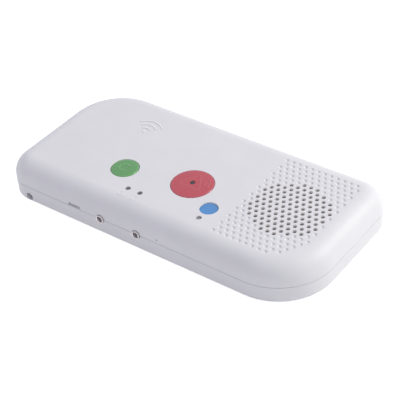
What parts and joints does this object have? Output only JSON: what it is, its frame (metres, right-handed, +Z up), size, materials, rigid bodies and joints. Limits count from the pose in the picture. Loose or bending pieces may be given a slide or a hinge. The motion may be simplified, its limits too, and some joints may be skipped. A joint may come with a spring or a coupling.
{
  "type": "nurse call room terminal",
  "caption": "Flat two-part bedside room terminal with sprung call, cancel and service buttons, speaker grille, indicator lenses, jack sockets and a cord inlet.",
  "frame": {"origin": "middle of the footprint at the level of the feet", "axes": "+X along the case towards the loudspeaker end, +Y to the back, +Z up out of the button face"},
  "size_m": [0.1966, 0.0954, 0.0246],
  "materials": {
    "case_white": "fine moulded texture, satin",
    "call_red": "satin moulded plastic",
    "cancel_green": "satin moulded plastic",
    "service_blue": "satin moulded plastic",
    "smoked_lens": "smoked clear plastic",
    "led_resin": "cast resin",
    "black_plastic": "moulded, satin",
    "board_green": "solder mask on glass-fibre board",
    "tin_plate": "tinned sheet",
    "antenna_film": "printed film",
    "gilt_brass": "flash gilt",
    "screen_cloth": "fine woven cloth",
    "black_foam": "closed-cell foam",
    "pressed_steel": "zinc plated pressing",
    "cone_paper": "pressed paper",
    "ferrite": "sintered ferrite",
    "zinc_steel": "zinc plated",
    "nickel": "nickel plated",
    "tongue_plastic": "moulded, satin",
    "black_rubber": "soft rubber",
    "terminal_grey": "moulded, satin",
    "battery_wrap": "heat-shrunk film"
  },
  "bodies": {
    "case": {"top_cover": "case_white", "rear_cover": "case_white", "status_lenses": "smoked_lens", "indicator_leds": "led_resin", "switch_bodies": "black_plastic", "main_board": "board_green", "board_chips": "black_plastic", "radio_shield": "tin_plate", "nfc_antenna": "antenna_film", "antenna_pins": "gilt_brass", "speaker_screen": "screen_cloth", "speaker_gasket": "black_foam", "speaker_frame": "pressed_steel", "speaker_cone": "cone_paper", "speaker_magnet": "ferrite", "speaker_tags": "gilt_brass", "speaker_screws": "zinc_steel", "jack_bodies": "black_plastic", "jack_ferrules": "nickel", "service_socket": "tin_plate", "socket_tongue": "tongue_plastic", "microphone": "tin_plate", "microphone_boot": "black_rubber", "backup_battery": "battery_wrap", "battery_pins": "gilt_brass", "line_terminal": "terminal_grey", "terminal_screws": "zinc_steel", "cord_clamp": "black_plastic", "clamp_screws": "zinc_steel", "case_screws": "zinc_steel", "board_screws": "zinc_steel", "rubber_feet": "black_rubber"},
    "call": {"call_button": "call_red", "call_lens": "smoked_lens", "call_plungers": "black_plastic"},
    "cancel": {"cancel_button": "cancel_green", "cancel_plunger": "black_plastic"},
    "service": {"service_button": "service_blue", "service_plunger": "black_plastic"}
  },
  "joints": [
    {"name": "call_press", "type": "slide", "parent": "case", "child": "call", "axis": [0, 0, -1], "range_m": [0, 0.0006], "stiffness_N_per_m": 2000},
    {"name": "cancel_press", "type": "slide", "parent": "case", "child": "cancel", "axis": [0, 0, -1], "range_m": [0, 0.0006], "stiffness_N_per_m": 1600},
    {"name": "service_press", "type": "slide", "parent": "case", "child": "service", "axis": [0, 0, -1], "range_m": [0, 0.0006], "stiffness_N_per_m": 1400}
  ]
}
